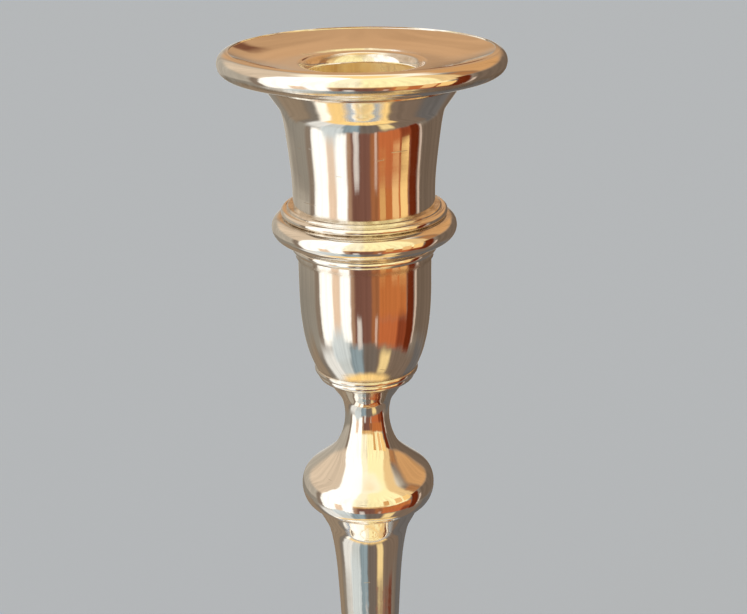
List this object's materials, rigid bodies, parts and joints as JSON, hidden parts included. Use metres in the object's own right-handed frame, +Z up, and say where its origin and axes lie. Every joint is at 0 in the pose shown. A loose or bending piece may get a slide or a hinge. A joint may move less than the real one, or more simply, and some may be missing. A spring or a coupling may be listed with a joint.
{
  "type": "table candlestick",
  "caption": "Polished silver table candlestick with a wide drip pan, straight socket, reeded collar, knop, tapered column and round loaded foot; the nozzle lifts out.",
  "frame": {"origin": "centre of the underside of the foot", "axes": "+Z up along the candlestick's axis of symmetry"},
  "size_m": [0.126, 0.126, 0.268],
  "materials": {
    "silver": "polished",
    "silver_inside": "satin",
    "iron": "satin",
    "base_metal": "satin",
    "pitch": "matte",
    "baize": "matte"
  },
  "bodies": {
    "candlestick": {"socket_mouth_wire": "silver", "socket_barrel": "silver", "collar_upper_reed": "silver", "collar_band": "silver", "collar_lower_reed": "silver", "socket_bowl": "silver", "bowl_collet": "silver", "neck_shell": "silver", "knop_underside": "silver", "column_shell": "silver", "column_foot_ring": "silver", "foot_trumpet": "silver", "foot_step_reed": "silver", "foot_tray": "silver", "foot_border": "silver", "foot_skirt": "silver", "socket_liner": "silver_inside", "socket_floor": "silver_inside", "tie_rod": "iron", "rod_top_nut": "iron", "rod_top_washer": "iron", "rod_bottom_nut": "iron", "rod_bottom_washer": "iron", "base_plate": "base_metal", "foot_filling": "pitch", "column_filling": "pitch", "neck_filling": "pitch", "bowl_filling": "pitch", "baize_pad": "baize"},
    "nozzle": {"nozzle_rim": "silver", "nozzle_pan": "silver", "nozzle_sleeve": "silver"}
  },
  "joints": [
    {"name": "nozzle_lift", "type": "slide", "parent": "candlestick", "child": "nozzle", "axis": [0, 0, 1], "range_m": [0, 0.04]}
  ]
}
